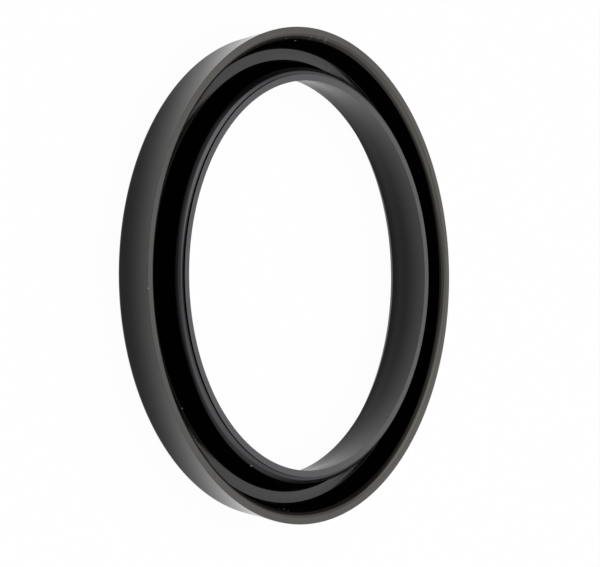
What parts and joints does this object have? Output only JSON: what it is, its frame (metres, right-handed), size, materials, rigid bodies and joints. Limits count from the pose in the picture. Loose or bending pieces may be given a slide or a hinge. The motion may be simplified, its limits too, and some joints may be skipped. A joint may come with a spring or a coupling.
{
  "type": "piston seal",
  "caption": "Black rubber lip seal for a piston: a ring of U-shaped section with a flared outer lip, an open groove and a taller inner lip.",
  "frame": {"origin": "centre of the heel's flat face, on the seal's axis", "axes": "+Z along the seal's axis, from the heel towards the lips; X and Y are radial"},
  "size_m": [0.093, 0.093, 0.01],
  "materials": {
    "moulded_rubber": "smooth moulded, semi-gloss black"
  },
  "bodies": {
    "root": {"seal_ring": "moulded_rubber"}
  },
  "joints": []
}
